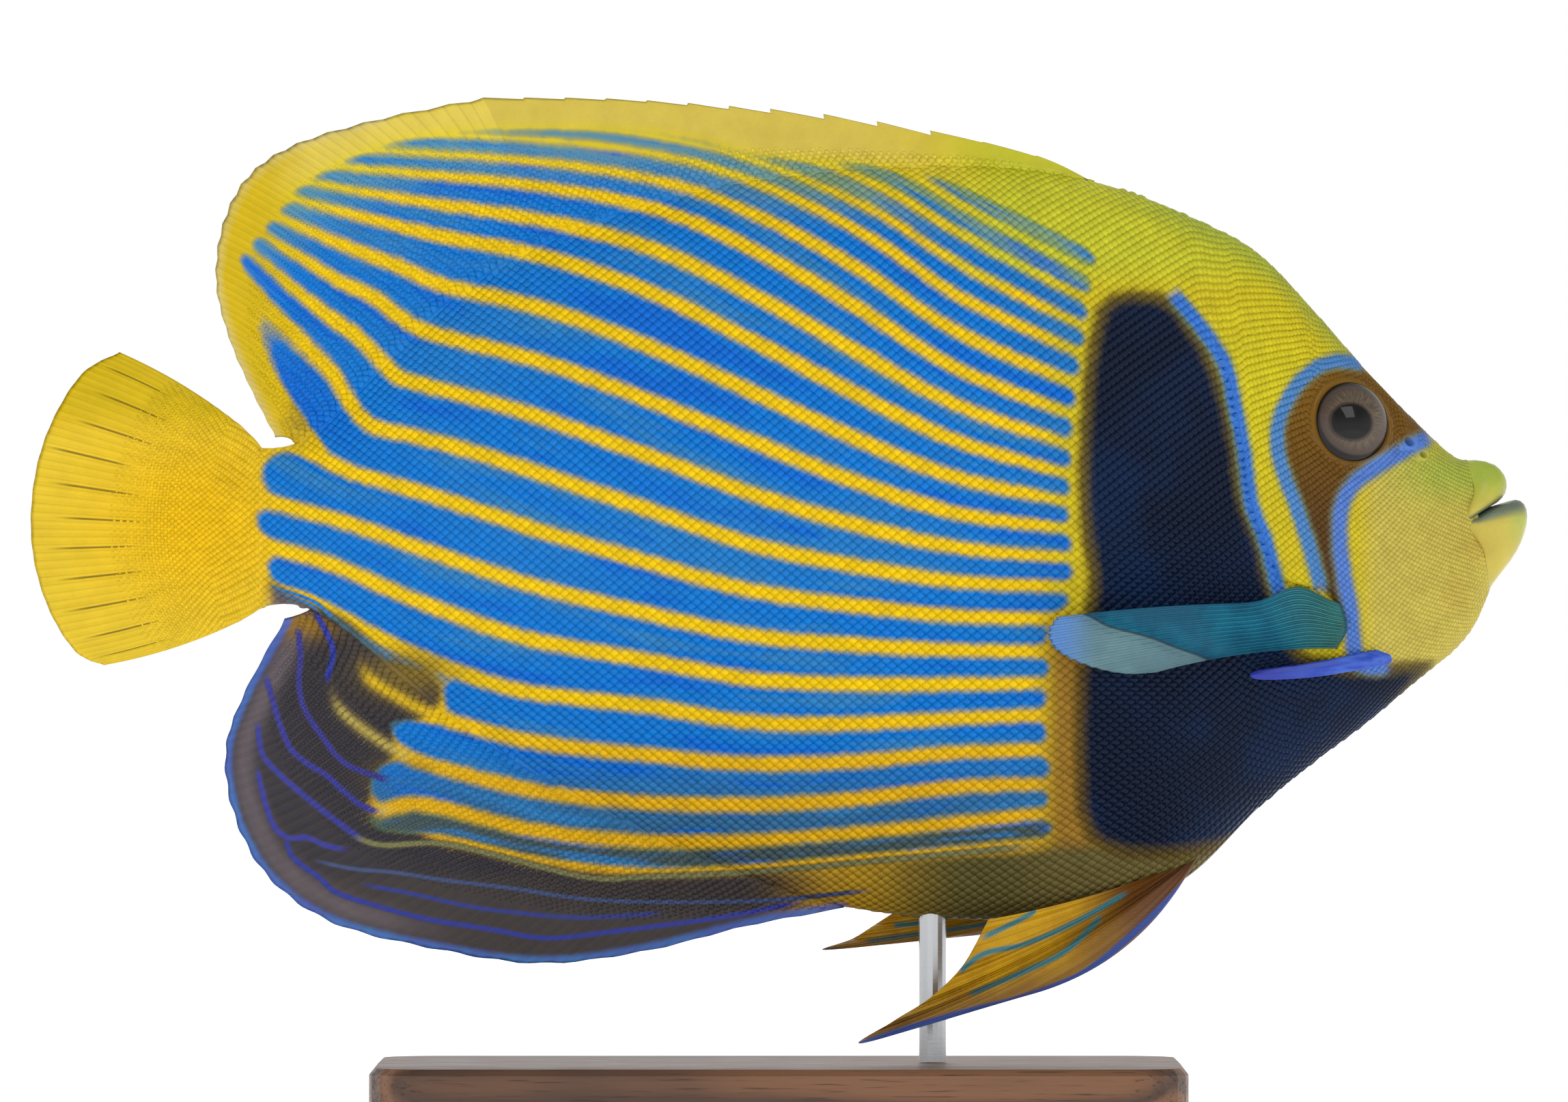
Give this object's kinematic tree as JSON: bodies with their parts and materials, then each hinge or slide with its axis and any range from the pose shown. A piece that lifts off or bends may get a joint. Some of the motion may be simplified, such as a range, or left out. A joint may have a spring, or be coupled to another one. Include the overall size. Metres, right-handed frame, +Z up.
{
  "type": "emperor angelfish display model",
  "caption": "Life-size still model of an adult emperor angelfish, deep striped body with spread fins, held level by a short rod on a flat base.",
  "frame": {"origin": "middle of the underside of the stand's base", "axes": "+X from the tail to the snout, +Y to the fish's left side, +Z up"},
  "size_m": [0.3507, 0.112, 0.236],
  "materials": {
    "head_skin": "painted skin, ochre cheek and dark eye band under a clear satin coat",
    "flank_skin": "scaled skin, blue with narrow yellow stripes, satin",
    "lip_skin": "smooth moist skin, yellow green, satin",
    "dorsal_membrane": "scaled fin, pale yellow above the stripes, satin",
    "anal_membrane": "scaled fin, dark grey brown with fine violet lines, satin",
    "caudal_membrane": "fin membrane, orange yellow, satin",
    "pectoral_membrane": "fin membrane, teal to pale blue grey, satin",
    "pelvic_membrane": "fin membrane, gold with blue streaks, satin",
    "eye": "clear domed cornea over a brown grey iris and a black pupil",
    "cheek_spine": "bone spine in blue skin, satin",
    "base_wood": "oiled walnut board, fine grain",
    "rod_steel": "brushed stainless steel"
  },
  "bodies": {
    "root": {"head": "head_skin", "torso": "flank_skin", "caudal_peduncle": "flank_skin", "upper_lip": "lip_skin", "lower_lip": "lip_skin", "dorsal_fin_spiny": "dorsal_membrane", "dorsal_fin_soft": "dorsal_membrane", "anal_fin": "anal_membrane", "caudal_fin": "caudal_membrane", "eye_right": "eye", "gill_cover_right": "head_skin", "cheek_spine_right": "cheek_spine", "pectoral_fin_right": "pectoral_membrane", "pelvic_fin_right": "pelvic_membrane", "eye_left": "eye", "gill_cover_left": "head_skin", "cheek_spine_left": "cheek_spine", "pectoral_fin_left": "pectoral_membrane", "pelvic_fin_left": "pelvic_membrane", "stand_base": "base_wood", "stand_rod": "rod_steel"}
  },
  "joints": []
}
